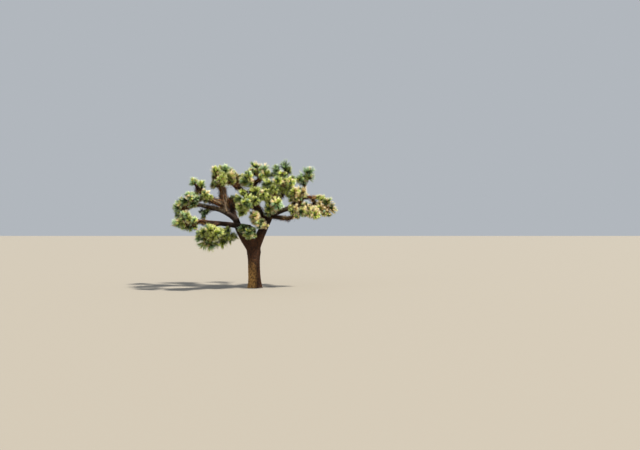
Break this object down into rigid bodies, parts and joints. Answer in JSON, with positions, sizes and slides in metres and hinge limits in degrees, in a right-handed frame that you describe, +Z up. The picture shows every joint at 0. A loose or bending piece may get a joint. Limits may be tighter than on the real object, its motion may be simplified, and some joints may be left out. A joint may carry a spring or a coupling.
{
  "type": "joshua tree",
  "caption": "Desert tree yucca, life size, with a stout leaning trunk, forking limbs and spiky heads of dagger leaves on every arm, standing rooted in level ground.",
  "frame": {"origin": "middle of the flat cut where the trunk meets the level ground", "axes": "+X to the right in the front view, +Y away from the viewer, +Z up"},
  "size_m": [7.2773, 4.4044, 5.4164],
  "materials": {
    "bark": "rough furrowed bark, dark brown, paler and plated low on the trunk",
    "foliage": "stiff matt olive leaves with cream tips, over straw-coloured dead leaves"
  },
  "bodies": {
    "root": {"trunk": "bark", "left_bough": "bark", "right_bough": "bark", "low_riser": "bark", "low_limb": "bark", "droop_limb": "bark", "arch_limb": "bark", "rear_left_limb": "bark", "left_riser": "bark", "left_reach": "bark", "outer_left_limb": "bark", "right_riser": "bark", "right_low_limb": "bark", "right_mid_limb": "bark", "top_limb": "bark", "upper_right_limb": "bark", "far_right_limb": "bark", "centre_limb": "bark", "centre_left_limb": "bark", "centre_right_limb": "bark", "front_limb": "bark", "rear_limb": "bark", "left_top_leaves": "foliage", "left_row_leaves": "foliage", "left_knob_leaves": "foliage", "outer_upper_leaves": "foliage", "outer_lower_leaves": "foliage", "hanging_leaves": "foliage", "low_end_upper_leaves": "foliage", "low_end_lower_leaves": "foliage", "droop_front_leaves": "foliage", "droop_low_leaves": "foliage", "droop_inner_leaves": "foliage", "fork_leaves": "foliage", "upper_left_front_leaves": "foliage", "upper_left_rear_leaves": "foliage", "upper_middle_leaves": "foliage", "upper_rear_leaves": "foliage", "crown_left_leaves": "foliage", "crown_right_leaves": "foliage", "crown_front_leaves": "foliage", "middle_low_leaves": "foliage", "middle_high_leaves": "foliage", "crotch_leaves": "foliage", "centre_low_leaves": "foliage", "centre_high_leaves": "foliage", "top_leaves": "foliage", "top_front_leaves": "foliage", "top_right_leaves": "foliage", "right_knob_leaves": "foliage", "right_top_leaves": "foliage", "right_middle_leaves": "foliage", "right_low_leaves": "foliage", "right_rear_leaves": "foliage", "far_right_tip_leaves": "foliage", "far_right_top_leaves": "foliage", "far_right_low_leaves": "foliage", "far_right_rear_leaves": "foliage", "rear_left_leaves": "foliage", "rear_middle_leaves": "foliage"}
  },
  "joints": []
}
